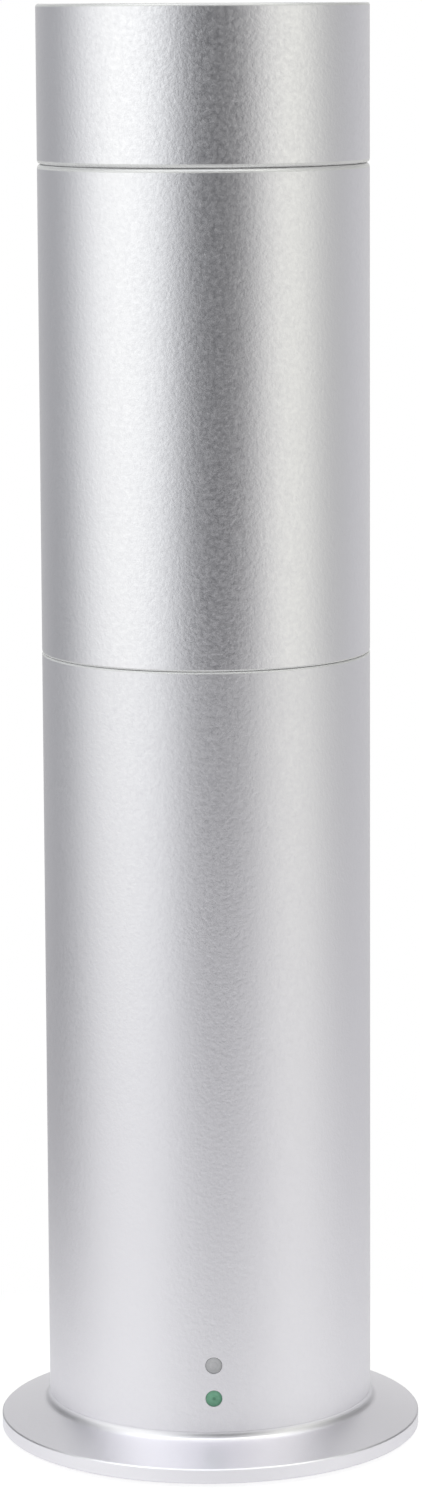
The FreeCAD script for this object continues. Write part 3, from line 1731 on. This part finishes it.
def make_tray():
    outer = f"({TRAY_CUP} + tray_wall)"
    dish = turned(
        "Tray_dish",
        [
            ("tray_hole", TRAY_FOOT),
            (outer, TRAY_FOOT),
            (outer, f"{TRAY_TOP} + tray_rim"),
            (TRAY_CUP, f"{TRAY_TOP} + tray_rim"),
            (TRAY_CUP, TRAY_TOP),
            ("tray_hole", TRAY_TOP),
        ],
    )
    legs = []
    for i, (across, back) in enumerate([(1, 0), (0, 1), (-1, 0), (0, -1)]):
        near, far = f"({FAN_BORE} + 0.2)", f"({outer} - 0.8)"
        radial = sorted((f"{across + back} * {near}", f"{across + back} * {far}"), key=number)
        spans = (radial, ("-1.5", "1.5")) if across else (("-1.5", "1.5"), radial)
        legs.append(block(f"Tray_leg{i}", *spans, (DECK_PLATE_TOP, f"{TRAY_FOOT} + 1")))
    keep(fuse("Tray", [dish, *legs]), "bottle_tray")
    pad = ring(
        "BottlePad", "tray_hole + 1", f"{TRAY_CUP} - slip_gap", TRAY_TOP, f"{TRAY_TOP} + pad_thickness"
    )
    keep(pad, "bottle_pad")


def make_riser():
    foot = f"({DECK_PLATE_FOOT} - 9)"
    pipe = ring("Riser", "riser_radius - 0.6", "riser_radius", foot, RISER_TOP)
    place(pipe, ("riser_offset", "0", "0"))
    keep(pipe, "air_riser")

    points = [
        ("0", "-pump_set_back", f"{PUMP_COVER_TOP} + 1"),
        ("0", "-pump_set_back", f"{PUMP_COVER_TOP} + 14"),
        ("riser_offset * 0.45", "-pump_set_back * 0.6", f"{PUMP_COVER_TOP} + 24"),
        ("riser_offset", "0", f"{foot} - 8"),
        ("riser_offset", "0", f"{foot} + 8"),
    ]
    keep(swept("PumpHose", points, "hose_radius", "riser_radius + running_gap"), "pump_hose")


# ---- bottle and atomiser ----


def make_bottle():
    inner = "(bottle_radius - bottle_wall)"
    inner_foot = f"({BOTTLE_FOOT} + bottle_wall)"
    bottle = turned(
        "Bottle",
        [
            ("0", BOTTLE_FOOT),
            ("bottle_radius", BOTTLE_FOOT),
            ("bottle_radius", SHOULDER),
            ("neck_radius", NECK_FOOT),
            ("neck_radius", NECK_TOP),
            (NECK_BORE, NECK_TOP),
            (NECK_BORE, f"{NECK_FOOT} - bottle_wall * 0.6"),
            (inner, f"{SHOULDER} - bottle_wall * 0.6"),
            (inner, inner_foot),
            ("0", inner_foot),
        ],
    )
    soften(
        bottle,
        "Bottle_round",
        [("bottle_radius", BOTTLE_FOOT), ("bottle_radius", SHOULDER)],
        "bottle_corner",
    )
    soften(bottle, "Bottle_inner_round", [(inner, inner_foot)], "bottle_corner - bottle_wall")
    keep(bottle, "bottle")

    oil_outer = f"{inner} - slip_gap"
    oil_foot = f"({inner_foot} + slip_gap)"
    well = "(siphon_radius + slip_gap)"
    oil = turned(
        "Oil",
        [
            ("0", oil_foot),
            (f"{oil_outer} - 2", oil_foot),
            (oil_outer, f"{oil_foot} + 2"),
            (oil_outer, f"{oil_foot} + oil_depth"),
            (well, f"{oil_foot} + oil_depth"),
            (well, f"{oil_foot} + siphon_clearance - slip_gap"),
            ("0", f"{oil_foot} + siphon_clearance - slip_gap"),
        ],
    )
    keep(oil, "scent_oil")


def make_atomiser():
    skirt_inner = "(neck_radius + thread_gap)"
    skirt_outer = f"({skirt_inner} + skirt_wall)"
    skirt_foot = f"({SKIRT_CEILING} - skirt_height)"
    inside = "(chamber_radius - chamber_wall)"
    plug = f"({NECK_BORE} - slip_gap * 2)"
    wall_top = f"({CHAMBER_TOP} - chamber_wall - 1)"
    cap = turned(
        "Atomiser_cap",
        [
            ("siphon_radius + running_gap", f"{SKIRT_CEILING} - 6"),
            (plug, f"{SKIRT_CEILING} - 6"),
            (plug, SKIRT_CEILING),
            (skirt_inner, SKIRT_CEILING),
            (skirt_inner, skirt_foot),
            (skirt_outer, skirt_foot),
            (skirt_outer, CHAMBER_FOOT),
            ("siphon_radius + running_gap", CHAMBER_FOOT),
        ],
    )
    wall = ring("Atomiser_chamber_wall", inside, "chamber_radius", CHAMBER_FOOT, wall_top)
    arm = rod(
        "Atomiser_arm",
        "arm_radius",
        f"riser_offset - {inside} - 1",
        (f"{inside} + 1", "0", ARM_LEVEL),
        "+X",
    )
    socket = rod("Atomiser_socket", "socket_radius", "socket_height", ("riser_offset", "0", SOCKET_FOOT))
    whole = fuse("Atomiser_chamber_whole", [wall, arm, socket])
    doc.recompute()
    tools = [
        rod(
            "Atomiser_socket_bore",
            "riser_radius + running_gap",
            "socket_insert + 1",
            ("riser_offset", "0", SOCKET_FOOT),
        ),
        rod("Atomiser_air_way", "0.8", "riser_offset - 5", ("5", "0", ARM_LEVEL), "+X"),
        rod("Atomiser_up_way", "0.8", f"{ARM_LEVEL} - {SOCKET_FOOT}", ("riser_offset", "0", SOCKET_FOOT)),
    ]
    chamber = cut("Atomiser_chamber", whole, tools)
    snout = turned(
        "Atomiser_snout",
        [
            (inside, wall_top),
            ("chamber_radius", wall_top),
            ("chamber_radius", f"{CHAMBER_TOP} - 2"),
            ("chamber_radius - 2", CHAMBER_TOP),
            ("snout_radius", CHAMBER_TOP),
            ("snout_radius", SNOUT_TOP),
            ("snout_bore", SNOUT_TOP),
            ("snout_bore", f"{CHAMBER_TOP} - chamber_wall"),
        ],
    )
    keep(group("Atomiser", [cap, chamber, snout]), "atomiser_body")

    seal_foot = f"({NECK_TOP} + slip_gap)"
    seal = ring(
        "AtomiserSeal", NECK_BORE, skirt_inner + " - slip_gap", seal_foot, f"{seal_foot} + seal_thickness"
    )
    keep(seal, "atomiser_seal")

    siphon_foot = f"({BOTTLE_FOOT} + bottle_wall + slip_gap + siphon_clearance)"
    siphon = ring("Siphon", "siphon_bore", "siphon_radius", siphon_foot, CHAMBER_FOOT)
    keep(siphon, "siphon_tube")

    nozzle = turned(
        "Nozzle",
        [
            ("0.5", CHAMBER_FOOT),
            ("nozzle_radius", CHAMBER_FOOT),
            ("nozzle_radius", f"{CHAMBER_FOOT} + nozzle_height - 2"),
            ("1.4", f"{CHAMBER_FOOT} + nozzle_height"),
            ("0.5", f"{CHAMBER_FOOT} + nozzle_height"),
        ],
    )
    keep(nozzle, "jet_nozzle")


# ---- wiring ----


def make_loom():
    plug_line = f"({PLATE_BACK} + standoff + board_thickness + 3)"
    gap_line = f"(({PLATE_BACK} + control_board_face - board_thickness) / 2)"
    plug_top = "(main_board_foot + 53.5)"
    plug_foot = "(main_board_foot + 48.5)"
    panel_plug = "(main_board_foot + 2.5)"
    fan_line = f"({FAN_HALF} + 4.5)"
    fan_lead = [
        ("5.5", plug_line, plug_top),
        ("5.5", plug_line, f"{plug_top} + 6"),
        ("5.5", fan_line, f"{plug_top} + 12"),
        ("5.5", fan_line, f"{FAN_FOOT} + 3"),
        ("5.5", FAN_HALF, f"{FAN_FOOT} + 3"),
    ]
    pump_line = LEAD_LINES[-1]
    pump_lead = [
        (pump_line, plug_line, plug_foot),
        (pump_line, plug_line, "main_board_foot - 4"),
        (pump_line, gap_line, "main_board_foot - 12"),
        (pump_line, gap_line, "pump_foot - 8"),
        (pump_line, "-3", "pump_foot - 8"),
        (pump_line, "-3", "pump_foot"),
    ]
    lamp_line = LEAD_LINES[1]
    lamp_lead = [
        (lamp_line, "-led_board_face + board_thickness", "pump_foot - 9"),
        (lamp_line, gap_line, "pump_foot - 9"),
        (lamp_line, gap_line, "main_board_foot - 10"),
        (lamp_line, plug_line, "main_board_foot - 5"),
        (lamp_line, plug_line, panel_plug),
    ]
    board_middle = "control_board_face - board_thickness / 2"
    control_lead = rod(
        "ControlLead",
        "board_thickness / 2",
        f"{panel_plug} - {WINDOW_TOP} - 1",
        ("10", board_middle, f"{WINDOW_TOP} + 1"),
    )
    leads = [
        swept("FanLead", fan_lead, "lead_radius"),
        swept("PumpLead", pump_lead, "lead_radius"),
        swept("LampLead", lamp_lead, "lead_radius"),
        control_lead,
    ]
    keep(group("Loom", leads), "wiring_loom")


make_foot()
make_lower_tube()
make_cover()
make_head()
make_chassis()
make_rear_panel()
make_controls()
make_lamps()
make_intake()
make_main_board()
make_pump()
make_fan()
make_deck()
make_tray()
make_riser()
make_bottle()
make_atomiser()
make_loom()
keep(group("LargeScrews", large_screws), "large_screws")
keep(group("SmallScrews", small_screws), "small_screws")
doc.recompute()

failed = [item.Name for item in doc.Objects if "Invalid" in item.State or "Error" in item.State]
if failed:
    raise ValueError(f"these objects failed: {failed}")
os.makedirs("parts", exist_ok=True)
for item in nodes:
    if item.Shape.isNull() or not item.Shape.isValid() or not item.Shape.Solids:
        raise ValueError(f"{item.Label} has no valid solid")
    item.Shape.exportStep(f"parts/{item.Label}.step")
    print(f"{item.Label}: {len(item.Shape.Solids)} solid, {item.Shape.Volume / 1000:.2f} cm3")
print(len(nodes), "nodes")
